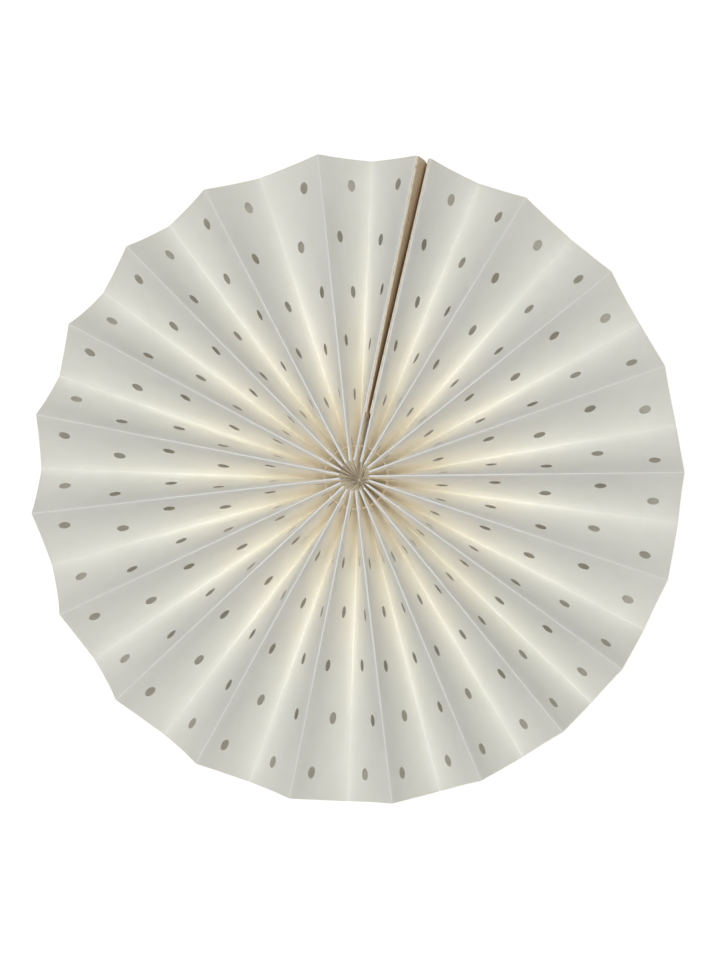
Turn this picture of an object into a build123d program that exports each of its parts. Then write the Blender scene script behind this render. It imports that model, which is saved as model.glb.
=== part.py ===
from build123d import *
import os
from math import asin, atan2, cos, degrees, hypot, radians, sin, sqrt

# Paper fan rosette, lying on its back with its front up.
# One long strip of punched heavy paper is folded like an accordion and gathered into a ring by a
# thread through the holes nearest the hub. The strip's two ends meet at a seam, where each end
# panel is a narrow flap, stiffened by a card glued to the side that faces the other end.

# Driving dimensions of the paper strip, in millimetres
paper_thickness = 0.3
strip_width = 144.5          # from the edge round the hub to the edge at the rim
panel_width = 37.0           # from one fold to the next
end_flap_width = 26.0        # what is left of the strip beyond its first and its last fold
crest_hub_radius = 5.5       # where the crests end round the middle
valley_hub_radius = 2.5      # the strip is drawn in closer at the back
valley_rim_inset = 1.0       # and its rim edge leans back as much less

# Driving dimensions of the punched holes
hole_diameter = 5.5
hole_sides = 7               # a many-sided cut with its corners on the punched circle
hole_rows = (11.0, 35.0, 58.5, 82.5, 107.0, 132.0)   # distances from the strip's hub edge
thread_hole_drop = 13.3      # from the crest to the row nearest the hub, punched through the stack
far_share = 0.65             # across the panel, for the first row beyond it and every second one
near_share = 0.35            # across the panel, for the rows between
hole_edge_margin = 3.0       # paper that a row must leave at the rim
punch_reach = 0.25           # how far a cut runs to each side of the paper's middle

# Driving dimensions of the seam
seam_bearing = 77.7          # degrees anticlockwise from +X
first_crest_offset = 2.9     # from the seam to the strip's first crest, at the rim
last_crest_offset = 4.0      # from the seam to the strip's last crest, at the rim
card_thickness = 0.8
card_gap = 0.6               # between the two cards, along their lower edges

# Driving dimensions of the gathering thread
thread_diameter = 1.0
thread_clearance = 0.2       # from the thread to the hub side of its holes
thread_sides = 6
knot_diameter = 1.8
knot_length = 0.7            # pressed flat between two panels
knot_chamfer = 0.2

# How far each panel opens at the rim, in degrees, clockwise from the seam. Folding by hand leaves
# them uneven. They are shared out so that the ring closes.
panel_openings = (
    8.5, 9.5, 10.0, 10.0, 9.5, 9.5, 10.0, 9.0, 8.5, 10.5,
    9.5, 8.0, 8.0, 7.0, 8.5, 8.0, 8.0, 8.0, 8.5, 9.5,
    8.5, 9.0, 8.5, 9.5, 9.0, 9.0, 9.5, 9.0, 8.5, 9.0,
    8.0, 9.0, 8.0, 9.0, 8.0, 9.0, 9.5, 11.5, 9.0, 8.5,
)

# Sizes that follow
rim_radius = crest_hub_radius + strip_width
middle_hub_radius = (crest_hub_radius + valley_hub_radius) / 2
rows = [row for row in hole_rows if row + hole_diameter / 2 + hole_edge_margin < strip_width]
stations = [0.0] + [(inner + outer) / 2 for inner, outer in zip(rows, rows[1:])] + [strip_width]
card_stations = stations[1:]
flap_offset = card_gap / 2 + card_thickness + paper_thickness / 2
hole_radius = hole_diameter / 2


def polar(radius, bearing, height):
    """A point at this distance and bearing from the rosette's axis."""
    return Vector(radius * cos(radians(bearing)), radius * sin(radians(bearing)), height)


def chord(radius, opening):
    """The straight distance between two neighbouring folds."""
    return 2 * radius * sin(radians(opening) / 2)


def crest_height(radius, opening):
    """How high a crest stands over the valleys beside it."""
    return sqrt(panel_width**2 - chord(radius, opening) ** 2)


def crest_land(radius, opening):
    """Half the width of a fold's blunt edge, which keeps the paper equally thick beside it."""
    return paper_thickness * (panel_width - chord(radius, opening)) / crest_height(radius, opening)


class Crease:
    """A straight line along the strip's width: a crest, a valley, or a free end of the strip.

    Its points on the front and on the back of the paper are listed clockwise.
    """

    def __init__(self, hub_point, rim_point, hub_land, rim_land, is_crest):
        self.hub_point, self.rim_point = hub_point, rim_point
        self.hub_land, self.rim_land = hub_land, rim_land
        self.is_crest = is_crest
        run = rim_point - hub_point
        self.clockwise = Vector(run.Y, -run.X, 0).normalized()

    def at(self, distance):
        return self.hub_point + (self.rim_point - self.hub_point) * (distance / strip_width)

    def sides(self, distance):
        share = distance / strip_width
        land = self.clockwise * (self.hub_land + (self.rim_land - self.hub_land) * share)
        return [self.at(distance) - land, self.at(distance) + land]

    def front(self, distance):
        if self.is_crest:
            return self.sides(distance)
        return [self.at(distance) + Vector(0, 0, paper_thickness)]

    def back(self, distance):
        if self.is_crest:
            return [self.at(distance) - Vector(0, 0, paper_thickness)]
        return self.sides(distance)


class FlapEnd(Crease):
    """The strip's free end. Its front looks at the seam."""

    def __init__(self, hub_point, rim_point, front_is_clockwise):
        super().__init__(hub_point, rim_point, paper_thickness / 2, paper_thickness / 2, False)
        self.front_index = 1 if front_is_clockwise else 0

    def front(self, distance):
        return [self.sides(distance)[self.front_index]]

    def back(self, distance):
        return [self.sides(distance)[1 - self.front_index]]


class CardEdge:
    """A long edge of a card. Its back lies on the front of the flap."""

    def __init__(self, flap_points, outward, is_crest):
        self.back = flap_points
        self.outward = outward
        self.is_crest = is_crest

    def front(self, distance):
        return [self.back(distance)[0] + self.outward * card_thickness]


def facet(*corners):
    return Face(Wire.make_polygon(corners))


def diagonal_from_a(a_is_crest, inner):
    """Whether a panel's facets part along the line from a's outer point to b's inner point.

    That line starts at the crest, so the panel is hollow as folded paper hangs. Next to the hub
    it starts at the valley, which leaves room for the thread.
    """
    return a_is_crest == (inner > 0)


def patch(a_inner, a_outer, b_inner, b_outer, from_a):
    """Two facets between lines a and b."""
    if from_a:
        return [facet(a_inner, a_outer, b_inner), facet(a_outer, b_outer, b_inner)]
    return [facet(a_inner, a_outer, b_outer), facet(a_inner, b_outer, b_inner)]


def edge_cap(lines, distance):
    """The cut edge of the sheet, at the hub or at the rim."""
    facets = []
    for a, b in zip(lines, lines[1:]):
        a_front, a_back = a.front(distance)[-1], a.back(distance)[-1]
        b_front, b_back = b.front(distance)[0], b.back(distance)[0]
        facets += [facet(a_front, b_front, b_back), facet(a_front, b_back, a_back)]
    for line in lines:
        corners = line.front(distance) + line.back(distance)[::-1]
        if len(corners) == 3:
            facets.append(facet(*corners))
    return facets


def sheet(lines, distances):
    """A folded sheet as one solid, from its creases and the distances where its facets end."""
    facets = edge_cap(lines, distances[0]) + edge_cap(lines, distances[-1])
    for inner, outer in zip(distances, distances[1:]):
        for a, b in zip(lines, lines[1:]):
            for side in ("front", "back"):
                a_points, b_points = getattr(a, side), getattr(b, side)
                corners = a_points(inner)[-1], a_points(outer)[-1], b_points(inner)[0], b_points(outer)[0]
                facets += patch(*corners, diagonal_from_a(a.is_crest, inner))
        for line in lines:
            for points in (line.front, line.back):
                if len(points(inner)) == 2:
                    (a_inner, b_inner), (a_outer, b_outer) = points(inner), points(outer)
                    facets += patch(a_inner, a_outer, b_inner, b_outer, True)
        for line, index in ((lines[0], 0), (lines[-1], -1)):
            corners = [line.front(inner), line.front(outer), line.back(inner), line.back(outer)]
            facets += patch(*[points[index] for points in corners], True)
    return Solid(Shell(facets))


def hole_plane(a, b, row, share):
    """A plane just behind the paper between creases a and b, at a share of the way across."""
    inner, outer = [pair for pair in zip(stations, stations[1:]) if pair[0] <= row <= pair[1]][0]
    along = (row - inner) / (outer - inner)
    corner = {}
    for i, distance in enumerate((inner, outer)):
        corner[i, 0] = (a.front(distance)[-1] + a.back(distance)[-1]) / 2
        corner[i, 1] = (b.front(distance)[0] + b.back(distance)[0]) / 2
    if diagonal_from_a(a.is_crest, inner):
        i, j = (0, 0) if along + share < 1 else (1, 1)
    else:
        i, j = (1, 0) if share < along else (0, 1)
    radial = corner[1 - i, j] - corner[i, j]
    across = corner[i, 1 - j] - corner[i, j]
    spot = corner[i, j] + radial * abs(along - i) + across * abs(share - j)
    return Plane(origin=spot, x_dir=radial, z_dir=radial.cross(across)).offset(-punch_reach)


# The creases, clockwise from the seam
first_bearing = seam_bearing - degrees(asin(first_crest_offset / rim_radius))
last_bearing = seam_bearing + degrees(asin(last_crest_offset / rim_radius)) - 360
hub_seam_angle = degrees(asin(flap_offset / crest_hub_radius))
opening_scale = (first_bearing - last_bearing) / sum(panel_openings)
openings = [opening * opening_scale for opening in panel_openings]
hub_opening = (360 - 2 * hub_seam_angle) / len(openings)

creases = []
for number in range(len(openings) + 1):
    beside = openings[max(number - 1, 0):number + 1]
    opening = sum(beside) / len(beside)
    hub_bearing = seam_bearing - hub_seam_angle - number * hub_opening
    rim_bearing = first_bearing - sum(openings[:number])
    if number % 2:
        hub_point = polar(valley_hub_radius, hub_bearing, 0)
        rim_point = polar(rim_radius - valley_rim_inset, rim_bearing, 0)
    else:
        hub_point = polar(crest_hub_radius, hub_bearing, crest_height(middle_hub_radius, hub_opening))
        rim_point = polar(rim_radius, rim_bearing, crest_height(rim_radius, opening))
    lands = crest_land(middle_hub_radius, hub_opening), crest_land(rim_radius, opening)
    creases.append(Crease(hub_point, rim_point, *lands, is_crest=number % 2 == 0))

seam_along = polar(1, seam_bearing, 0)
seam_left = polar(1, seam_bearing + 90, 0)


def flap_end(crest, seam_side):
    """The free end of the strip below its first or last crest.

    It is drawn towards the axis like the valleys, as far as the narrower flap takes it.
    """
    ends = []
    insets = crest_hub_radius - valley_hub_radius, valley_rim_inset
    for point, inset in zip((crest.hub_point, crest.rim_point), insets):
        reach = point.dot(seam_along) - inset * end_flap_width / panel_width
        foot = seam_along * reach + seam_left * seam_side * flap_offset
        lean = abs(point.dot(seam_left)) - flap_offset
        ends.append(foot + Vector(0, 0, point.Z - sqrt(end_flap_width**2 - lean**2)))
    return FlapEnd(*ends, front_is_clockwise=seam_side > 0)


first_end = flap_end(creases[0], -1)
last_end = flap_end(creases[-1], 1)
strip = [first_end] + creases + [last_end]

# Where the punch goes through the strip. The row nearest the hub is level, for the thread.
drop_share = thread_hole_drop / panel_width
flap_drop_share = thread_hole_drop / end_flap_width
thread_holes = [hole_plane(creases[-1], last_end, rows[0], flap_drop_share)]
thread_holes.append(hole_plane(first_end, creases[0], rows[0], 1 - flap_drop_share))
other_holes = []
for a, b in zip(creases, creases[1:]):
    thread_holes.append(hole_plane(a, b, rows[0], drop_share if a.is_crest else 1 - drop_share))
    for number, row in enumerate(rows[1:]):
        other_holes.append(hole_plane(a, b, row, near_share if number % 2 else far_share))

with BuildPart() as punch_cuts:
    with BuildSketch(*thread_holes, *other_holes):
        RegularPolygon(hole_radius, hole_sides)
    extrude(amount=2 * punch_reach, clean=False)

with BuildPart() as pleated_paper:
    add(sheet(strip, stations))
    add(punch_cuts.part, mode=Mode.SUBTRACT, clean=False)

with BuildPart() as first_end_card:
    card_edges = [
        CardEdge(first_end.front, seam_left, False),
        CardEdge(lambda distance: creases[0].front(distance)[:1], seam_left, True),
    ]
    add(sheet(card_edges, card_stations))

with BuildPart() as last_end_card:
    card_edges = [
        CardEdge(lambda distance: creases[-1].front(distance)[1:], -seam_left, True),
        CardEdge(last_end.front, -seam_left, False),
    ]
    add(sheet(card_edges, card_stations))

# The thread is pulled against the hub side of its holes. Its knot lies over the strip's last
# valley, between the two panels beside it.
thread_spots = [plane.origin for plane in thread_holes]
ring_height = sum(spot.Z for spot in thread_spots) / len(thread_spots)
hole_ring_radius = sum(hypot(spot.X, spot.Y) for spot in thread_spots) / len(thread_spots)
ring_radius = hole_ring_radius - hole_radius + thread_diameter / 2 + thread_clearance
knot_spot = (thread_spots[-2] + thread_spots[-1]) / 2
knot_bearing = degrees(atan2(knot_spot.Y, knot_spot.X))
knot_middle = polar(ring_radius, knot_bearing, ring_height)
knot_plane = Plane(origin=knot_middle, z_dir=polar(1, knot_bearing + 90, 0)).offset(-knot_length / 2)

with BuildPart() as gathering_thread:
    with BuildSketch(knot_plane):
        Circle(knot_diameter / 2)
    extrude(amount=knot_length)
    chamfer(gathering_thread.edges().filter_by(GeomType.CIRCLE), knot_chamfer)
    with BuildSketch(Plane.XZ):
        with Locations((ring_radius, ring_height)):
            RegularPolygon(thread_diameter / 2, thread_sides)
    revolve(axis=Axis.Z)

sub_parts = {
    "pleated_paper": pleated_paper,
    "first_end_card": first_end_card,
    "last_end_card": last_end_card,
    "gathering_thread": gathering_thread,
}
os.makedirs("parts", exist_ok=True)
for name, builder in sub_parts.items():
    builder.part.label = name
    export_step(builder.part, f"parts/{name}.step")
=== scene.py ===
import logging
import math
from collections.abc import Sequence
from dataclasses import dataclass, field
from enum import Enum

import bpy
import numpy as np
from mathutils import Matrix, Vector


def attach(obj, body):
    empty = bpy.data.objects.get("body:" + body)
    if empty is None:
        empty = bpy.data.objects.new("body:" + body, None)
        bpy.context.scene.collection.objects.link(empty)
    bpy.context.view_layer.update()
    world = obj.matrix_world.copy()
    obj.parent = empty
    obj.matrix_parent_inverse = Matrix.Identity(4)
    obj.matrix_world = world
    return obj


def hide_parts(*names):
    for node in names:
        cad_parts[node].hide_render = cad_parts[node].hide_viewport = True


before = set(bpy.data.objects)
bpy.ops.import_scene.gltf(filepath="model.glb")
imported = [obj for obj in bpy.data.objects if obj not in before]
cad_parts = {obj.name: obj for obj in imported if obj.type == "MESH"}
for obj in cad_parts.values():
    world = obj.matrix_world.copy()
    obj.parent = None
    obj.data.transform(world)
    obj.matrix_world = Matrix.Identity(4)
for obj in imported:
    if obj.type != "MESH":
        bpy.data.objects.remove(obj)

MM = 0.001
BODY = "root"
LOG = logging.getLogger("rosette")
WHITE = (1.0, 1.0, 1.0, 1.0)
UPRIGHT_SHARE = 0.2  # a line with less than this of its direction on the level counts as upright
END_SHARE = 0.6  # the radius of an open tube's ends, as a share of the rest


def linear(hex_colour: str) -> tuple[float, float, float, float]:
    """Turn an sRGB hex colour to the linear values that the shaders take.

    Args:
        hex_colour: The colour as "#rrggbb".

    Returns:
        Linear red, green and blue, and an alpha of 1.
    """
    channels = [int(hex_colour[i : i + 2], 16) / 255 for i in (1, 3, 5)]
    values = [c / 12.92 if c <= 0.04045 else ((c + 0.055) / 1.055) ** 2.4 for c in channels]
    return (*values, 1.0)


def per_metre(size_mm: float) -> float:
    """Give the texture scale at which one feature is this many millimetres."""
    return 1 / (size_mm * MM)


def add_node(
    tree: bpy.types.NodeTree,
    kind: str,
    settings: dict[str, object] | None = None,
    inputs: dict[str | int, object] | None = None,
) -> bpy.types.Node:
    """Add a node with its settings and links.

    Args:
        tree: The material's or world's node tree.
        kind: The node's type name.
        settings: Values of the node's own attributes, by name.
        inputs: A value, or another node's output to link, for each named or numbered socket.

    Returns:
        The new node.
    """
    node = tree.nodes.new(kind)
    for name, value in (settings or {}).items():
        setattr(node, name, value)
    for name, value in (inputs or {}).items():
        if isinstance(value, bpy.types.NodeSocket):
            tree.links.new(value, node.inputs[name])
        else:
            node.inputs[name].default_value = value
    return node


def new_material(name: str) -> tuple[bpy.types.Material, bpy.types.NodeTree]:
    """Make an empty node material.

    Args:
        name: The material's name.

    Returns:
        The material and its node tree, with no nodes in it.
    """
    material = bpy.data.materials.new(name)
    material.use_nodes = True
    material.node_tree.nodes.clear()
    return material, material.node_tree


def mesh_object(name: str, points_mm: np.ndarray, faces: Sequence[Sequence[int]]) -> bpy.types.Object:
    """Make a mesh object from points in millimetres.

    Args:
        name: The object's name.
        points_mm: One row of x, y and z for each vertex.
        faces: The vertex numbers of each face.

    Returns:
        The object, linked to the scene.
    """
    mesh = bpy.data.meshes.new(name)
    mesh.from_pydata((np.asarray(points_mm) * MM).tolist(), [], [tuple(map(int, f)) for f in faces])
    mesh.validate()
    obj = bpy.data.objects.new(name, mesh)
    bpy.context.scene.collection.objects.link(obj)
    return obj


def apply_modifiers(obj: bpy.types.Object) -> None:
    """Turn an object's modifiers into mesh.

    Args:
        obj: The object, which has no modifiers afterwards.
    """
    graph = bpy.context.evaluated_depsgraph_get()
    mesh = bpy.data.meshes.new_from_object(obj.evaluated_get(graph))
    obj.modifiers.clear()
    obj.data = mesh


def smooth_below(obj: bpy.types.Object, degrees: float) -> None:
    """Shade a mesh smooth, with sharp edges where its faces meet at more than this angle."""
    obj.data.shade_smooth()
    obj.data.set_sharp_from_angle(angle=math.radians(degrees))


def tube(points_mm: np.ndarray, radius_mm: float, sides: int, closed: bool) -> tuple[np.ndarray, list]:
    """Sweep a round section along a line.

    Args:
        points_mm: The line's points.
        radius_mm: The section's radius.
        sides: How many corners the section has.
        closed: Whether the line ends where it starts.

    Returns:
        The tube's vertices and faces. An open tube has narrowed, capped ends.
    """
    count = len(points_mm)
    if closed:
        tangents = np.roll(points_mm, -1, axis=0) - np.roll(points_mm, 1, axis=0)
    else:
        tangents = np.gradient(points_mm, axis=0)
    tangents /= np.linalg.norm(tangents, axis=1)[:, None]
    across = np.cross(tangents, (0.0, 0.0, 1.0))
    flat = np.linalg.norm(across, axis=1) < UPRIGHT_SHARE
    across[flat] = np.cross(tangents[flat], (1.0, 0.0, 0.0))
    for i in range(1, count):
        turned = across[i - 1] - tangents[i] * np.dot(across[i - 1], tangents[i])
        across[i] = turned / np.linalg.norm(turned)
    across[0] /= np.linalg.norm(across[0])
    upward = np.cross(across, tangents)
    angles = np.linspace(0, 2 * np.pi, sides, endpoint=False)
    radii = np.full(count, radius_mm)
    if not closed:
        radii[[0, -1]] *= END_SHARE
    rings = (
        points_mm[:, None, :]
        + across[:, None, :] * (np.cos(angles)[None, :, None] * radii[:, None, None])
        + upward[:, None, :] * (np.sin(angles)[None, :, None] * radii[:, None, None])
    )
    faces = []
    for i in range(count if closed else count - 1):
        for j in range(sides):
            a, b = i * sides + j, i * sides + (j + 1) % sides
            k = (i + 1) % count * sides
            faces.append((a, b, k + (j + 1) % sides, k + j))
    if not closed:
        faces.append(tuple(range(sides))[::-1])
        faces.append(tuple((count - 1) * sides + j for j in range(sides)))
    return rings.reshape(-1, 3), faces


def join_parts(parts: Sequence[tuple[np.ndarray, list]]) -> tuple[np.ndarray, list]:
    """Put several vertex and face lists into one.

    Args:
        parts: Pairs of vertices and faces.

    Returns:
        All vertices, and all faces with their numbers moved on.
    """
    points, faces, start = [], [], 0
    for part_points, part_faces in parts:
        points.append(part_points)
        faces += [tuple(number + start for number in face) for face in part_faces]
        start += len(part_points)
    return np.concatenate(points), faces


@dataclass(frozen=True)
class CottonPaper:
    """Heavy mould-made drawing paper of cotton, unbleached and uncoated.

    It gives the eye an off-white without any shine, faintly clouded where the pulp lies thicker,
    with a soft tooth. Towards the hub its colour is painted paler and creamier, as painted light in
    the deep folds there. Light spreads a little way inside it, which keeps the deep folds warm.
    """

    name: str = "mould-made cotton paper"
    thick_pulp: str = "#efefe9"
    thin_pulp: str = "#e9e9e2"
    # painted light: the paper's colour near the hub, painted paler to brighten its deep folds
    hub_painted_light_pulp: str = "#fefbf4"
    painted_light_core_mm: float = 15.0  # nearer the axis than this, the paper has the full painted light of the hub
    painted_light_reach_mm: float = 112.0  # and further out than this, it has none of that painted light
    cloud_mm: float = 9.0
    cloud_detail: float = 4.0
    tooth_mm: float = 1.4  # the real tooth is about 0.5 mm, too fine for one pixel
    tooth_detail: float = 3.0
    tooth_depth_mm: float = 0.05
    tooth_strength: float = 0.6
    roughness: float = 0.93
    specular: float = 0.25
    translucency: float = 1.0
    scatter_mm: float = 0.35  # about the thickness of the sheet, so that some light passes through
    scatter_tint: tuple[float, float, float] = (1.0, 0.95, 0.85)  # red light goes furthest

    def material(self) -> bpy.types.Material:
        """Build the paper's material.

        Returns:
            The material.
        """
        material, tree = new_material(self.name)
        place = add_node(tree, "ShaderNodeTexCoord").outputs["Object"]
        cloud = add_node(
            tree,
            "ShaderNodeTexNoise",
            inputs={"Vector": place, "Scale": per_metre(self.cloud_mm), "Detail": self.cloud_detail},
        )
        colour = add_node(
            tree,
            "ShaderNodeMix",
            {"data_type": "RGBA"},
            {0: cloud.outputs["Fac"], 6: linear(self.thin_pulp), 7: linear(self.thick_pulp)},
        )
        flat = add_node(
            tree, "ShaderNodeVectorMath", {"operation": "MULTIPLY"}, {0: place, 1: (1.0, 1.0, 0.0)}
        )
        radius = add_node(tree, "ShaderNodeVectorMath", {"operation": "LENGTH"}, {0: flat.outputs[0]})
        # painted light: the colour blends towards the paler hub colour nearer the axis, brightening the
        # deep folds
        painted_light_share = add_node(
            tree,
            "ShaderNodeMapRange",
            inputs={
                "Value": radius.outputs["Value"],
                "From Min": self.painted_light_reach_mm * MM,
                "From Max": self.painted_light_core_mm * MM,
            },
        )
        colour_with_painted_light = add_node(
            tree,
            "ShaderNodeMix",
            {"data_type": "RGBA"},
            {0: painted_light_share.outputs["Result"], 6: colour.outputs[2], 7: linear(self.hub_painted_light_pulp)},
        )
        tooth = add_node(
            tree,
            "ShaderNodeTexNoise",
            inputs={"Vector": place, "Scale": per_metre(self.tooth_mm), "Detail": self.tooth_detail},
        )
        bump = add_node(
            tree,
            "ShaderNodeBump",
            inputs={
                "Height": tooth.outputs["Fac"],
                "Distance": self.tooth_depth_mm * MM,
                "Strength": self.tooth_strength,
            },
        )
        shader = add_node(
            tree,
            "ShaderNodeBsdfPrincipled",
            inputs={
                "Base Color": colour_with_painted_light.outputs[2],
                "Roughness": self.roughness,
                "Specular IOR Level": self.specular,
                "Subsurface Weight": self.translucency,
                "Subsurface Radius": self.scatter_tint,
                "Subsurface Scale": self.scatter_mm * MM,
                "Normal": bump.outputs["Normal"],
            },
        )
        add_node(tree, "ShaderNodeOutputMaterial", inputs={"Surface": shader.outputs["BSDF"]})
        return material


@dataclass(frozen=True)
class KraftCard:
    """Thin card of pressed, half-bleached kraft pulp.

    It gives the eye a pale, matt beige with darker fibres lying along the sheet.
    """

    name: str = "pressed kraft card"
    pulp: str = "#f0e7d6"
    dark_pulp: str = "#e2d5bc"
    fibre: str = "#bfac8e"
    cloud_mm: float = 5.0
    cloud_detail: float = 5.0
    fibre_length_mm: float = 3.0
    fibre_width_mm: float = 0.4
    fibre_detail: float = 2.0
    fibre_level: float = 0.62  # only the noise above this shows as darker fibre
    fibre_blur: float = 0.06
    fibre_depth_mm: float = 0.06
    fibre_strength: float = 0.5
    roughness: float = 0.9
    specular: float = 0.25

    def material(self) -> bpy.types.Material:
        """Build the card's material.

        Returns:
            The material.
        """
        material, tree = new_material(self.name)
        place = add_node(tree, "ShaderNodeTexCoord").outputs["Object"]
        cloud = add_node(
            tree,
            "ShaderNodeTexNoise",
            inputs={"Vector": place, "Scale": per_metre(self.cloud_mm), "Detail": self.cloud_detail},
        )
        ground = add_node(
            tree,
            "ShaderNodeMix",
            {"data_type": "RGBA"},
            {0: cloud.outputs["Fac"], 6: linear(self.dark_pulp), 7: linear(self.pulp)},
        )
        stretched = add_node(
            tree,
            "ShaderNodeMapping",
            inputs={
                "Vector": place,
                "Scale": (
                    per_metre(self.fibre_width_mm),
                    per_metre(self.fibre_length_mm),
                    per_metre(self.fibre_width_mm),
                ),
            },
        )
        fibres = add_node(
            tree,
            "ShaderNodeTexNoise",
            inputs={"Vector": stretched.outputs["Vector"], "Scale": 1.0, "Detail": self.fibre_detail},
        )
        picked = add_node(
            tree,
            "ShaderNodeMapRange",
            inputs={
                "Value": fibres.outputs["Fac"],
                "From Min": self.fibre_level - self.fibre_blur,
                "From Max": self.fibre_level + self.fibre_blur,
            },
        )
        colour = add_node(
            tree,
            "ShaderNodeMix",
            {"data_type": "RGBA"},
            {0: picked.outputs["Result"], 6: ground.outputs[2], 7: linear(self.fibre)},
        )
        bump = add_node(
            tree,
            "ShaderNodeBump",
            inputs={
                "Height": fibres.outputs["Fac"],
                "Distance": self.fibre_depth_mm * MM,
                "Strength": self.fibre_strength,
            },
        )
        shader = add_node(
            tree,
            "ShaderNodeBsdfPrincipled",
            inputs={
                "Base Color": colour.outputs[2],
                "Roughness": self.roughness,
                "Specular IOR Level": self.specular,
                "Normal": bump.outputs["Normal"],
            },
        )
        add_node(tree, "ShaderNodeOutputMaterial", inputs={"Surface": shader.outputs["BSDF"]})
        return material


@dataclass(frozen=True)
class CottonThread:
    """Soft-spun cotton thread of three plies, undyed.

    It gives the eye a pale pinkish cream with a little fuzz that lightens its rims.
    """

    name: str = "three-ply cotton thread"
    yarn: str = "#f4e8da"
    # painted shade: this darker colour goes in the dips of the fibre bump
    yarn_in_painted_shade: str = "#e6d4bf"
    fibre_mm: float = 0.5
    fibre_detail: float = 3.0
    fibre_depth_mm: float = 0.1
    fibre_strength: float = 0.5
    roughness: float = 0.85
    fuzz: float = 0.3

    def material(self) -> bpy.types.Material:
        """Build the thread's material.

        Returns:
            The material.
        """
        material, tree = new_material(self.name)
        place = add_node(tree, "ShaderNodeTexCoord").outputs["Object"]
        fibres = add_node(
            tree,
            "ShaderNodeTexNoise",
            inputs={"Vector": place, "Scale": per_metre(self.fibre_mm), "Detail": self.fibre_detail},
        )
        # painted shade: the fibre noise darkens the colour where it bumps the thread lower
        colour = add_node(
            tree,
            "ShaderNodeMix",
            {"data_type": "RGBA"},
            {0: fibres.outputs["Fac"], 6: linear(self.yarn_in_painted_shade), 7: linear(self.yarn)},
        )
        bump = add_node(
            tree,
            "ShaderNodeBump",
            inputs={
                "Height": fibres.outputs["Fac"],
                "Distance": self.fibre_depth_mm * MM,
                "Strength": self.fibre_strength,
            },
        )
        shader = add_node(
            tree,
            "ShaderNodeBsdfPrincipled",
            inputs={
                "Base Color": colour.outputs[2],
                "Roughness": self.roughness,
                "Sheen Weight": self.fuzz,
                "Normal": bump.outputs["Normal"],
            },
        )
        add_node(tree, "ShaderNodeOutputMaterial", inputs={"Surface": shader.outputs["BSDF"]})
        return material


class LineKind(Enum):
    """What a straight line along the strip's width is, and so which way it points."""

    CREST = 1
    VALLEY = -1
    FREE_END = 0


class Turn(Enum):
    """A way round the rosette, as its front is seen."""

    ANTICLOCKWISE = 1
    CLOCKWISE = -1


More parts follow.
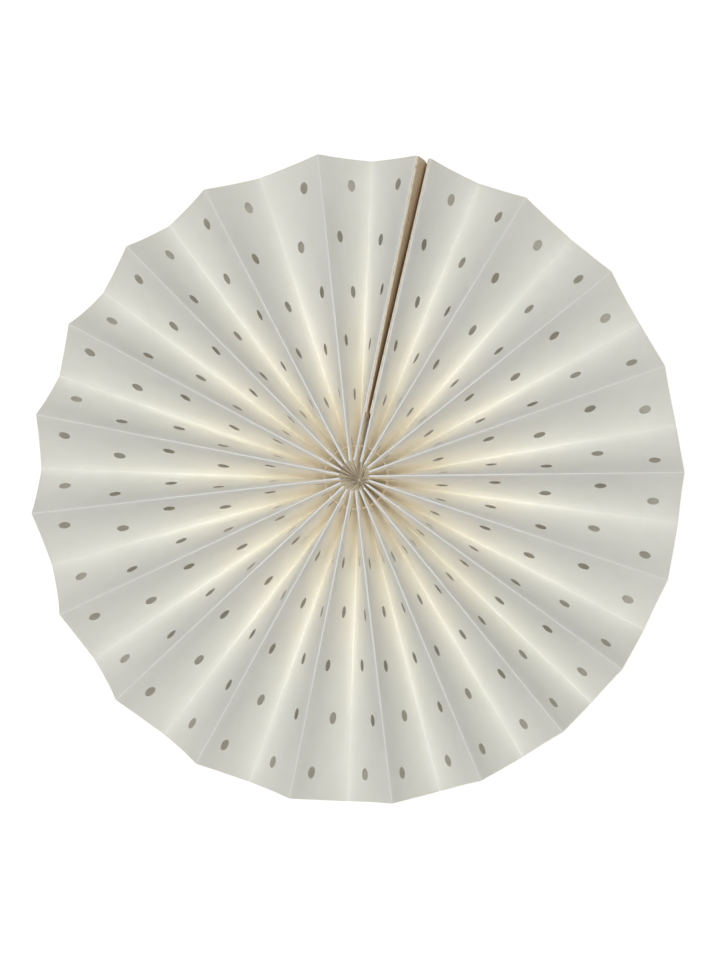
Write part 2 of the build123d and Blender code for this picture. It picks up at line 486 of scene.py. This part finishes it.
@dataclass
class PleatedPaper:
    """The punched paper strip, folded like an accordion and gathered into a ring.

    Its lines are the free end at the seam, the 41 folds clockwise from it, and the other free
    end. A panel lies between each line and the next. Sizes are in millimetres and angles in
    degrees. They are the solid's, apart from the hub edge, the rounding of the folds and the sag
    of the panels, which are added here.
    """

    name: str = "folded_paper_strip"
    paper_thickness: float = 0.3
    strip_width: float = 144.5
    panel_width: float = 37.0  # from one fold to the next
    end_flap_width: float = 26.0  # from the first or last fold to the free end
    crest_hub_radius: float = 5.5
    valley_hub_radius: float = 2.5
    crest_cutback: float = 1.4  # the gathered hub edge flares at the front
    valley_gathers: tuple[float, ...] = (1.9, 0.1, 0.5)  # and bunches up unevenly at the back
    valley_rim_inset: float = 1.0  # the rim edge leans back towards the valleys
    hole_diameter: float = 5.5
    hole_rows: tuple[float, ...] = (11.0, 35.0, 58.5, 82.5, 107.0, 132.0)  # from the hub edge
    thread_hole_drop: float = 13.3  # from the crest to the row nearest the hub
    far_share: float = 0.65  # how far across a panel the row beyond it and every second one is
    near_share: float = 0.35  # and the rows between
    seam_bearing: float = 77.7  # anticlockwise from +X
    first_crest_offset: float = 2.9  # from the seam to the strip's first crest, at the rim
    last_crest_offset: float = 4.0
    flap_offset: float = 1.25  # from the seam to the middle of a free end's paper
    # How far each panel opens at the rim, clockwise from the seam, before they are shared out
    panel_openings: tuple[float, ...] = (
        *(8.5, 9.5, 10.0, 10.0, 9.5, 9.5, 10.0, 9.0, 8.5, 10.5),
        *(9.5, 8.0, 8.0, 7.0, 8.5, 8.0, 8.0, 8.0, 8.5, 9.5),
        *(8.5, 9.0, 8.5, 9.5, 9.0, 9.0, 9.5, 9.0, 8.5, 9.0),
        *(8.0, 9.0, 8.0, 9.0, 8.0, 9.0, 9.5, 11.5, 9.0, 8.5),
    )
    crest_fold_radii: tuple[float, float] = (0.3, 0.16)  # of the paper's middle, at hub and rim
    valley_fold_radii: tuple[float, float] = (0.16, 0.8)
    bow: float = 1.3  # how far a panel sags at the rim
    bow_spread: float = 0.4  # how unevenly, as a share
    flap_bows: tuple[float, float] = (0.3, 1.6)  # the stiffened end flaps bulge towards each other
    bow_seed: int = 11
    fold_segments: int = 4
    across_segments: int = 10
    cell_segments: int = 8
    ring_shares: tuple[float, ...] = (0.45, 0.8)  # where the rings of faces round a hole meet
    crisp_angle: float = 60.0  # degrees between faces past which an edge is shaded sharp
    hub: np.ndarray = field(init=False)  # where each line starts
    rim: np.ndarray = field(init=False)  # and where it ends
    kinds: list[LineKind] = field(init=False)
    clockwise: np.ndarray = field(init=False)  # the level direction across each line
    upward: np.ndarray = field(init=False)  # the direction at right angles to both
    bows: np.ndarray = field(init=False)  # how far each panel sags at the rim

    def __post_init__(self) -> None:
        """Work out both ends of every line, the directions across it, and each panel's sag."""
        rim_radius = self.crest_hub_radius + self.strip_width
        middle = (self.crest_hub_radius + self.valley_hub_radius) / 2
        first = self.seam_bearing - math.degrees(math.asin(self.first_crest_offset / rim_radius))
        last = self.seam_bearing + math.degrees(math.asin(self.last_crest_offset / rim_radius)) - 360
        hub_seam = math.degrees(math.asin(self.flap_offset / self.crest_hub_radius))
        scale = (first - last) / sum(self.panel_openings)
        openings = [opening * scale for opening in self.panel_openings]
        hub_opening = (360 - 2 * hub_seam) / len(openings)
        hub, rim, kinds = [], [], []
        for number in range(len(openings) + 1):
            beside = openings[max(number - 1, 0) : number + 1]
            opening = sum(beside) / len(beside)
            at_hub = self.seam_bearing - hub_seam - number * hub_opening
            at_rim = first - sum(openings[:number])
            if number % 2:
                gather = self.valley_gathers[number // 2 % len(self.valley_gathers)]
                hub.append(self.polar(self.valley_hub_radius - gather, at_hub, 0))
                rim.append(self.polar(rim_radius - self.valley_rim_inset, at_rim, 0))
            else:
                height = self.crest_height(middle, hub_opening)
                hub.append(self.polar(self.crest_hub_radius + self.crest_cutback, at_hub, height))
                rim.append(self.polar(rim_radius, at_rim, self.crest_height(rim_radius, opening)))
            kinds.append(LineKind.VALLEY if number % 2 else LineKind.CREST)
        first_end = self.flap_end(hub[0], rim[0], Turn.CLOCKWISE)
        last_end = self.flap_end(hub[-1], rim[-1], Turn.ANTICLOCKWISE)
        self.hub = np.array([first_end[0], *hub, last_end[0]])
        self.rim = np.array([first_end[1], *rim, last_end[1]])
        self.kinds = [LineKind.FREE_END, *kinds, LineKind.FREE_END]
        run = self.rim - self.hub
        run /= np.linalg.norm(run, axis=1)[:, None]
        self.clockwise = np.stack([run[:, 1], -run[:, 0], 0 * run[:, 0]], axis=1)
        self.clockwise /= np.linalg.norm(self.clockwise, axis=1)[:, None]
        self.upward = np.cross(self.clockwise, run)
        spread = np.random.default_rng(self.bow_seed).uniform(-1, 1, len(self.kinds) - 1)
        self.bows = self.bow * (1 + self.bow_spread * spread)
        self.bows[[0, -1]] = np.negative(self.flap_bows)

    @staticmethod
    def polar(radius: float, bearing: float, height: float) -> np.ndarray:
        """Give a point at this distance and bearing from the rosette's axis."""
        angle = math.radians(bearing)
        return np.array([radius * math.cos(angle), radius * math.sin(angle), height])

    def crest_height(self, radius: float, opening: float) -> float:
        """Give the height of a crest over the valleys beside it."""
        chord = 2 * radius * math.sin(math.radians(opening) / 2)
        return math.sqrt(self.panel_width**2 - chord**2)

    def flap_end(self, hub_point: np.ndarray, rim_point: np.ndarray, side: Turn) -> list[np.ndarray]:
        """Work out the strip's free end below its first or last crest.

        Args:
            hub_point: The crest's end at the hub.
            rim_point: The crest's end at the rim.
            side: Which way the free end lies from the seam.

        Returns:
            The free end's points at the hub and at the rim.
        """
        along = self.polar(1, self.seam_bearing, 0)
        left = self.polar(1, self.seam_bearing + 90, 0)
        insets = self.crest_hub_radius - self.valley_hub_radius, self.valley_rim_inset
        ends = []
        for point, inset in zip((hub_point, rim_point), insets):
            reach = point @ along - inset * self.end_flap_width / self.panel_width
            lean = abs(point @ left) - self.flap_offset
            height = point[2] - math.sqrt(self.end_flap_width**2 - lean**2)
            ends.append(along * reach + left * side.value * self.flap_offset + (0, 0, height))
        return ends

    def line_points(self, line: int, along: np.ndarray) -> np.ndarray:
        """Give a line's points at these distances from the strip's hub edge."""
        share = (np.asarray(along, dtype=float) / self.strip_width)[:, None]
        return self.hub[line] * (1 - share) + self.rim[line] * share

    def panel_slope(self, panel: int, line: int, along: np.ndarray) -> np.ndarray:
        """Work out how steeply a panel runs into one of its two lines.

        Args:
            panel: The panel's number.
            line: The number of the line that it meets.
            along: Distances from the hub edge.

        Returns:
            The angle from the level, in radians.
        """
        chord = self.line_points(panel + 1, along) - self.line_points(panel, along)
        level, rise = chord @ self.clockwise[line], np.abs(chord @ self.upward[line])
        bend = 4 * self.bow_at(panel, along) / self.panel_width
        return np.arctan2(rise, level) + self.kinds[line].value * bend

    def bow_at(self, panel: int, along: np.ndarray) -> np.ndarray:
        """Give how far a panel sags, at these distances from the hub edge."""
        return self.bows[panel] * (np.asarray(along) / self.strip_width) ** 2

    def fold(self, line: int, along: np.ndarray) -> tuple[np.ndarray, np.ndarray]:
        """Work out the rounding of a fold.

        Args:
            line: The fold's number.
            along: Distances from the hub edge.

        Returns:
            The radius of the paper's middle, and half the angle that it turns through.
        """
        is_crest = self.kinds[line] is LineKind.CREST
        at_hub, at_rim = self.crest_fold_radii if is_crest else self.valley_fold_radii
        radius = at_hub + (at_rim - at_hub) * (np.asarray(along) / self.strip_width)
        slopes = [self.panel_slope(panel, line, along) for panel in (line - 1, line)]
        return radius, sum(slopes) / 2

    def fold_points(self, line: int, along: np.ndarray, turn: float) -> np.ndarray:
        """Give points of the paper's middle on a fold's rounding.

        Args:
            line: The fold's number.
            along: Distances from the hub edge.
            turn: From -1, where the panel before ends, to 1, where the next one starts.

        Returns:
            One point for each distance.
        """
        points = self.line_points(line, along)
        if self.kinds[line] is LineKind.FREE_END:
            return points
        radius, half_turn = self.fold(line, along)
        sign = self.kinds[line].value
        lift = radius * (np.cos(half_turn * turn) - 1) - self.paper_thickness / 2
        aside = radius * np.sin(half_turn * turn)
        points = points + self.clockwise[line] * aside[:, None]
        return points + self.upward[line] * (sign * lift)[:, None]

    def panel_points(self, panel: int, share: np.ndarray, along: np.ndarray) -> np.ndarray:
        """Give points of the paper's middle on a panel.

        Args:
            panel: The panel's number.
            share: How far each point is across the panel, from 0 to 1.
            along: Its distance from the hub edge.

        Returns:
            One point for each pair.
        """
        start = self.fold_points(panel, along, 1.0)
        end = self.fold_points(panel + 1, along, -1.0)
        chord = end - start
        run = self.rim[panel] - self.hub[panel]
        outward = np.cross(chord, run)
        outward /= np.linalg.norm(outward, axis=1)[:, None]
        outward *= np.sign(outward[:, 2:3]) + (outward[:, 2:3] == 0)
        sag = 4 * share * (1 - share) * self.bow_at(panel, along)
        return start + chord * share[:, None] - outward * sag[:, None]

    def is_flap(self, panel: int) -> bool:
        """Tell whether a panel is one of the strip's two narrow ends."""
        return LineKind.FREE_END in (self.kinds[panel], self.kinds[panel + 1])

    def width_of(self, panel: int) -> float:
        """Give a panel's width."""
        return self.end_flap_width if self.is_flap(panel) else self.panel_width

    def stations(self) -> list[float]:
        """List the distances from the hub edge that part the rows of holes."""
        between = [(a + b) / 2 for a, b in zip(self.hole_rows, self.hole_rows[1:])]
        return [0.0, *between, self.strip_width]

    def along_lines(self) -> np.ndarray:
        """List the distances from the hub edge where the folds have vertices.

        Returns:
            The distances, from the hub edge to the rim edge.
        """
        marks = self.stations()
        steps = self.cell_segments
        cells = [np.linspace(a, b, steps, endpoint=False) for a, b in zip(marks, marks[1:])]
        return np.append(np.concatenate(cells), self.strip_width)

    def hole_shares(self, panel: int) -> list[float | None]:
        """List how far across a panel the hole of each row is.

        Args:
            panel: The panel's number.

        Returns:
            A share for each row, with None where the panel has no hole in that row.
        """
        drop = self.thread_hole_drop / self.width_of(panel)
        starts_high = self.kinds[panel] is LineKind.CREST
        shares: list[float | None] = [drop if starts_high else 1 - drop]
        for number in range(len(self.hole_rows) - 1):
            staggered = self.near_share if number % 2 else self.far_share
            shares.append(None if self.is_flap(panel) else staggered)
        return shares

    def cell_faces(
        self, low: float, high: float, row: float, share: float | None, width: float
    ) -> list[list[tuple[float, float]]]:
        """Divide the stretch of a panel round one row into flat faces with a round hole.

        Args:
            low: Where the stretch starts, from the hub edge.
            high: Where it ends.
            row: The row's distance from the hub edge.
            share: How far across the panel the hole is, or None.
            width: The panel's width.

        Returns:
            The corners of each face, as pairs of share across and distance along.
        """
        across = np.linspace(0, 1, self.across_segments + 1)
        along = np.linspace(low, high, self.cell_segments + 1)
        faces = []
        if share is None:
            for u0, u1 in zip(across, across[1:]):
                for v0, v1 in zip(along, along[1:]):
                    faces.append([(u0, v0), (u1, v0), (u1, v1), (u0, v1)])
            return faces
        edge = [(u, low) for u in across[:-1]] + [(1.0, v) for v in along[:-1]]
        edge += [(u, high) for u in across[:0:-1]] + [(0.0, v) for v in along[:0:-1]]
        outer = np.array(edge)
        angles = np.arctan2(outer[:, 1] - row, (outer[:, 0] - share) * width)
        radius = self.hole_diameter / 2
        hole_across, hole_along = share + radius * np.cos(angles) / width, row + radius * np.sin(angles)
        inner = np.stack([hole_across, hole_along], axis=1)
        rings = [outer + (inner - outer) * part for part in (0.0, *self.ring_shares, 1.0)]
        for ring, following in zip(rings, rings[1:]):
            for i in range(len(outer)):
                j = (i + 1) % len(outer)
                faces.append([tuple(c) for c in (ring[i], ring[j], following[j], following[i])])
        return faces

    @staticmethod
    def spot(across: float, along: float) -> tuple[float, float]:
        """Round a place on a panel, so that corners which fall together count as one."""
        return round(across, 5), round(along, 3)

    def panel_layout(self, panel: int) -> tuple[np.ndarray, list[tuple[int, ...]], list[int], list[int]]:
        """Divide a whole panel into flat faces, with its holes.

        Args:
            panel: The panel's number.

        Returns:
            The vertices as pairs of share across and distance along, the faces, and the numbers
            of the vertices along the panel's first and second line.
        """
        marks = self.stations()
        numbers: dict[tuple[float, float], int] = {}
        flat: list[tuple[float, float]] = []
        faces: list[tuple[int, ...]] = []
        for low, high, row, share in zip(marks, marks[1:], self.hole_rows, self.hole_shares(panel)):
            for corners in self.cell_faces(low, high, row, share, self.width_of(panel)):
                for corner in corners:
                    if self.spot(*corner) not in numbers:
                        numbers[self.spot(*corner)] = len(flat)
                        flat.append(corner)
                faces.append(tuple(numbers[self.spot(*corner)] for corner in corners))
        starts, ends = ([numbers[self.spot(u, v)] for v in self.along_lines()] for u in (0.0, 1.0))
        return np.array(flat), faces, starts, ends

    def build_mesh(self) -> bpy.types.Object:
        """Build the strip's middle surface, then give it its thickness.

        Returns:
            The strip, without a material.
        """
        along = self.along_lines()
        points: list[np.ndarray] = []
        faces: list[tuple[int, ...]] = []
        count = 0
        before: list[int] = []
        for panel in range(len(self.kinds) - 1):
            flat, flat_faces, starts, ends = self.panel_layout(panel)
            points.append(self.panel_points(panel, flat[:, 0], flat[:, 1]))
            faces += [tuple(number + count for number in face) for face in flat_faces]
            starts, ends = ([number + count for number in line] for line in (starts, ends))
            count += len(flat)
            if panel:
                columns = [before]
                for turn in np.linspace(-1, 1, self.fold_segments + 1)[1:-1]:
                    points.append(self.fold_points(panel, along, turn))
                    columns.append(list(range(count, count + len(along))))
                    count += len(along)
                columns.append(starts)
                for left, right in zip(columns, columns[1:]):
                    for i in range(len(along) - 1):
                        faces.append((left[i], right[i], right[i + 1], left[i + 1]))
            before = ends
        obj = mesh_object(self.name, np.concatenate(points), faces)
        solidify = obj.modifiers.new("thickness", "SOLIDIFY")
        solidify.thickness = self.paper_thickness * MM
        solidify.offset = 0.0
        apply_modifiers(obj)
        smooth_below(obj, self.crisp_angle)
        return obj

    def build(self, finish: CottonPaper) -> bpy.types.Object:
        """Build the strip, dress it and let it stand for its solid.

        Args:
            finish: What the strip is made of.

        Returns:
            The strip.
        """
        obj = self.build_mesh()
        obj.data.materials.clear()
        obj.data.materials.append(finish.material())
        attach(obj, BODY)
        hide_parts("pleated_paper")
        return obj


@dataclass
class EndCard:
    """A card glued to the seam side of an end flap, to stiffen it. Sizes are in millimetres."""

    strip: PleatedPaper
    name: str
    node: str
    panel: int  # the number of the end flap that it stiffens
    facing: Turn  # the way round in which its face looks, across the seam
    thickness: float = 0.8
    glue: float = 0.02
    edge_rounding: float = 0.12
    rounding_segments: int = 2
    rounded_angle: float = 50.0  # degrees between faces past which an edge is rounded
    crisp_angle: float = 40.0
    along_segments: int = 40
    across_segments: int = 10

    def build_mesh(self) -> bpy.types.Object:
        """Build the card as a thin closed slab that follows its flap.

        Returns:
            The card, without a material.
        """
        strip = self.strip
        along = np.linspace(strip.stations()[1], strip.strip_width, self.along_segments + 1)
        shares = np.linspace(0, 1, self.across_segments + 1)
        ones = np.ones_like(along)
        flap = np.stack([strip.panel_points(self.panel, share * ones, along) for share in shares])
        outward = strip.polar(1, strip.seam_bearing + 90, 0) * self.facing.value
        near = strip.paper_thickness / 2 + self.glue
        layers = np.stack([flap + outward * near, flap + outward * (near + self.thickness)])
        numbers = np.arange(layers.size // 3).reshape(layers.shape[:3])
        back, face = numbers
        faces = []
        for i in range(self.across_segments):
            for j in range(self.along_segments):
                faces.append((back[i, j], back[i, j + 1], back[i + 1, j + 1], back[i + 1, j]))
                faces.append((face[i, j], face[i + 1, j], face[i + 1, j + 1], face[i, j + 1]))
        edges = [back[0], back[:, -1], back[-1, ::-1], back[::-1, 0]]
        rims = [face[0], face[:, -1], face[-1, ::-1], face[::-1, 0]]
        for edge, rim in zip(edges, rims):
            for i in range(len(edge) - 1):
                faces.append((edge[i], rim[i], rim[i + 1], edge[i + 1]))
        obj = mesh_object(self.name, layers.reshape(-1, 3), faces)
        bevel = obj.modifiers.new("worn edges", "BEVEL")
        bevel.width = self.edge_rounding * MM
        bevel.segments = self.rounding_segments
        bevel.limit_method = "ANGLE"
        bevel.angle_limit = math.radians(self.rounded_angle)
        apply_modifiers(obj)
        smooth_below(obj, self.crisp_angle)
        return obj

    def build(self, material: bpy.types.Material) -> bpy.types.Object:
        """Build the card, dress it and let it stand for its solid.

        Args:
            material: What the card is made of.

        Returns:
            The card.
        """
        obj = self.build_mesh()
        obj.data.materials.clear()
        obj.data.materials.append(material)
        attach(obj, BODY)
        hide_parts(self.node)
        return obj


@dataclass
class GatheringThread:
    """The thread that gathers the strip, through the row of holes nearest the hub, and its knot.

    Sizes are in millimetres.
    """

    strip: PleatedPaper
    name: str = "twisted_thread"
    thread_diameter: float = 0.95
    clearance: float = 0.15
    plies: int = 3
    twist_mm: float = 2.6
    samples_per_twist: int = 10
    ply_sides: int = 7
    ply_swell: float = 1.08  # soft plies bulge into each other
    knot_size: float = 0.75
    knot_flatness: float = 0.7  # it is pressed between two panels
    knot_thread_radius: float = 0.228  # drawn tight
    knot_points: int = 72
    tail_lengths: tuple[float, ...] = (3.6, 2.4)
    tail_directions: tuple[tuple[float, float], ...] = ((-0.75, 0.65), (0.55, 0.85))  # outward and up
    tail_curl: tuple[float, float] = (2.2, 0.5)  # radians of a wave that each tail takes, and its height
    tail_radius: float = 0.285
    tail_points: int = 10
    knot_sides: int = 8
    crisp_angle: float = 80.0

    def innermost(self) -> np.ndarray:
        """Find the place nearest the hub where the thread can cross each panel in its hole.

        Returns:
            One point for each panel.
        """
        strip = self.strip
        slack = (strip.hole_diameter - self.thread_diameter) / 2 - self.clearance
        along = np.array([strip.hole_rows[0] - slack])
        points = []
        for panel in range(len(strip.kinds) - 1):
            share = np.array([strip.hole_shares(panel)[0]])
            points.append(strip.panel_points(panel, share, along)[0])
        return np.array(points)

    def size(self) -> tuple[float, float]:
        """Give the radius and the height of the smallest ring that passes through every hole."""
        spots = self.innermost()
        return float(np.hypot(spots[:, 0], spots[:, 1]).max()), float(spots[:, 2].mean())

    def ring(self) -> list[tuple[np.ndarray, list]]:
        """Twist the plies along the ring.

        Returns:
            Each ply's vertices and faces.
        """
        ring_radius, ring_height = self.size()
        turns = round(2 * math.pi * ring_radius / self.twist_mm)
        angle = np.linspace(0, 2 * np.pi, turns * self.samples_per_twist, endpoint=False)
        ply_radius = self.thread_diameter / 2 / (1 + 2 / math.sqrt(3))
        offset = self.thread_diameter / 2 - ply_radius
        parts = []
        for ply in range(self.plies):
            phase = angle * turns + 2 * np.pi * ply / self.plies
            radius = ring_radius + offset * np.cos(phase)
            height = ring_height + offset * np.sin(phase)
            line = np.stack([radius * np.cos(angle), radius * np.sin(angle), height], axis=1)
            parts.append(tube(line, ply_radius * self.ply_swell, self.ply_sides, closed=True))
        return parts

    def knot(self) -> list[tuple[np.ndarray, list]]:
        """Tie a small flat knot with two tails between two panels.

        Returns:
            The knot's and the tails' vertices and faces.
        """
        ring_radius, ring_height = self.size()
        upward = np.array([0.0, 0.0, 1.0])
        last_full_panels = slice(-3, -1)
        outward = self.innermost()[last_full_panels].mean(axis=0) * (1, 1, 0)
        outward /= np.linalg.norm(outward)
        aside = np.cross(upward, outward)
        middle = outward * ring_radius + upward * ring_height
        t = np.linspace(0, 2 * np.pi, self.knot_points, endpoint=False)
        loops = np.stack([np.sin(t) + 2 * np.sin(2 * t), np.cos(t) - 2 * np.cos(2 * t), -np.sin(3 * t)])
        loops *= self.knot_size / 3
        line = middle + loops[0][:, None] * outward + loops[1][:, None] * upward
        line = line + loops[2][:, None] * aside * self.knot_flatness
        parts = [tube(line, self.knot_thread_radius, self.knot_sides, closed=True)]
        wave, height = self.tail_curl
        for length, (out, up) in zip(self.tail_lengths, self.tail_directions):
            s = np.linspace(0, 1, self.tail_points)[:, None]
            straight = (outward * out + upward * up) * s * length
            curl = (outward * up - upward * out) * np.sin(s * wave) * height
            parts.append(tube(middle + straight + curl, self.tail_radius, self.knot_sides, closed=False))
        return parts

    def build(self, finish: CottonThread) -> bpy.types.Object:
        """Build the thread, dress it and let it stand for its solid.

        Args:
            finish: What the thread is spun from.

        Returns:
            The thread.
        """
        obj = mesh_object(self.name, *join_parts(self.ring() + self.knot()))
        smooth_below(obj, self.crisp_angle)
        obj.data.materials.append(finish.material())
        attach(obj, BODY)
        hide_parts("gathering_thread")
        return obj


@dataclass
class Studio:
    """A plain pale table under soft light, and the camera over it.

    Sizes are in metres where their names don't say otherwise.
    """

    target_mm: tuple[float, float, float] = (1.17, -0.80, 14.0)
    tilt_right: float = 3.55  # degrees between the rosette's axis and the line of sight
    tilt_down: float = 3.17
    distance: float = 1.76
    pixels_per_radian: float = 3817.0
    frame_height: int = 960
    sensor_mm: float = 36.0
    clip_distances: tuple[float, float] = (0.01, 50.0)
    floor_size: float = 6.0
    floor_drop_mm: float = 0.06  # the table is a hair below the back folds
    floor_roughness: float = 0.9
    floor_colour: str = "#e4e0d6"
    table_glow: float = 0.05  # the table top is lit softly from below
    floor_lift: float = 0.6
    lift_start: float = 0.141  # how far from the rosette's axis the lift begins, and is full
    lift_end: float = 0.149
    sky_strength: float = 0.26
    key_strength: float = 0.615  # how bright the key alone makes a white sheet that faces it
    key_size: float = 1.95
    key_place: tuple[float, float, float] = (-0.11, -0.08, 2.4)
    bounces: int = 20  # light reaches the bottom of the deep folds from wall to wall

    def camera(self) -> None:
        """Set the camera at the photograph's viewing angle."""
        data = bpy.data.cameras.new("camera")
        data.sensor_width = self.sensor_mm
        data.lens = self.sensor_mm * self.pixels_per_radian / self.frame_height
        data.clip_start, data.clip_end = self.clip_distances
        camera = bpy.data.objects.new("camera", data)
        bpy.context.scene.collection.objects.link(camera)
        slant = (math.tan(math.radians(self.tilt_right)), -math.tan(math.radians(self.tilt_down)), 1)
        back = Vector(slant).normalized()
        camera.location = Vector(self.target_mm) * MM + back * self.distance
        right = Vector((0, 1, 0)).cross(back).normalized()
        camera.rotation_euler = Matrix((right, back.cross(right), back)).transposed().to_euler()
        bpy.context.scene.camera = camera

    def floor(self) -> None:
        """Lay a white table that keeps the shadow under the rosette."""
        half = self.floor_size / 2 / MM
        signs = ((-1, -1), (1, -1), (1, 1), (-1, 1))
        corners = np.array([(x * half, y * half, -self.floor_drop_mm) for x, y in signs])
        obj = mesh_object("table_top", corners, [(0, 1, 2, 3)])
        material, tree = new_material("white table top")
        camera_ray = add_node(tree, "ShaderNodeLightPath").outputs["Is Camera Ray"]
        place = add_node(tree, "ShaderNodeTexCoord").outputs["Object"]
        radius = add_node(tree, "ShaderNodeVectorMath", {"operation": "LENGTH"}, {0: place})
        beyond = add_node(
            tree,
            "ShaderNodeMapRange",
            {"interpolation_type": "SMOOTHSTEP"},
            {
                "Value": radius.outputs["Value"],
                "From Min": self.lift_start,
                "From Max": self.lift_end,
                "To Max": self.floor_lift,
            },
        )
        lift = add_node(
            tree,
            "ShaderNodeMath",
            {"operation": "MULTIPLY_ADD"},
            {0: camera_ray, 1: beyond.outputs["Result"], 2: self.table_glow},
        )
        shader = add_node(
            tree,
            "ShaderNodeBsdfPrincipled",
            inputs={
                "Base Color": linear(self.floor_colour),
                "Roughness": self.floor_roughness,
                "Emission Color": WHITE,
                "Emission Strength": lift.outputs[0],
            },
        )
        add_node(tree, "ShaderNodeOutputMaterial", inputs={"Surface": shader.outputs["BSDF"]})
        obj.data.materials.append(material)

    def light(self) -> None:
        """Set a soft key light beside the camera and an even white surround."""
        world = bpy.data.worlds.new("surround")
        world.use_nodes = True
        tree = world.node_tree
        tree.nodes.clear()
        camera_ray = add_node(tree, "ShaderNodeLightPath").outputs["Is Camera Ray"]
        strength = add_node(
            tree,
            "ShaderNodeMix",
            {"data_type": "FLOAT"},
            {0: camera_ray, 2: self.sky_strength, 3: 1.0},
        )
        sky = add_node(
            tree,
            "ShaderNodeBackground",
            inputs={"Color": WHITE, "Strength": strength.outputs[0]},
        )
        add_node(tree, "ShaderNodeOutputWorld", inputs={"Surface": sky.outputs["Background"]})
        bpy.context.scene.world = world
        data = bpy.data.lights.new("soft key", "AREA")
        data.shape = "DISK"
        data.size = self.key_size
        data.energy = self.key_strength * (math.pi * Vector(self.key_place).length) ** 2
        key = bpy.data.objects.new("soft key", data)
        bpy.context.scene.collection.objects.link(key)
        key.location = self.key_place
        key.rotation_mode = "QUATERNION"
        key.rotation_quaternion = Vector(self.key_place).to_track_quat("Z", "Y")

    def build(self) -> None:
        """Set the camera, the table and the light."""
        self.camera()
        self.floor()
        self.light()
        cycles = bpy.context.scene.cycles
        cycles.max_bounces = cycles.diffuse_bounces = self.bounces
        bpy.context.scene.view_settings.view_transform = "Standard"


def main() -> None:
    """Build each piece of the rosette and the studio, and log each piece's face count."""
    logging.basicConfig(level=logging.INFO, format="%(name)s: %(message)s")
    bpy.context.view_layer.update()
    paper = PleatedPaper()
    strip = paper.build(CottonPaper())
    LOG.info("%s: %d faces", strip.name, len(strip.data.polygons))
    card = KraftCard().material()
    last_panel = len(paper.kinds) - 2
    cards = (
        EndCard(paper, "first_flap_card", "first_end_card", 0, Turn.ANTICLOCKWISE),
        EndCard(paper, "last_flap_card", "last_end_card", last_panel, Turn.CLOCKWISE),
    )
    for piece in cards:
        obj = piece.build(card)
        LOG.info("%s: %d faces", obj.name, len(obj.data.polygons))
    thread = GatheringThread(paper).build(CottonThread())
    LOG.info("%s: %d faces", thread.name, len(thread.data.polygons))
    Studio().build()


if __name__ == "__main__":
    main()
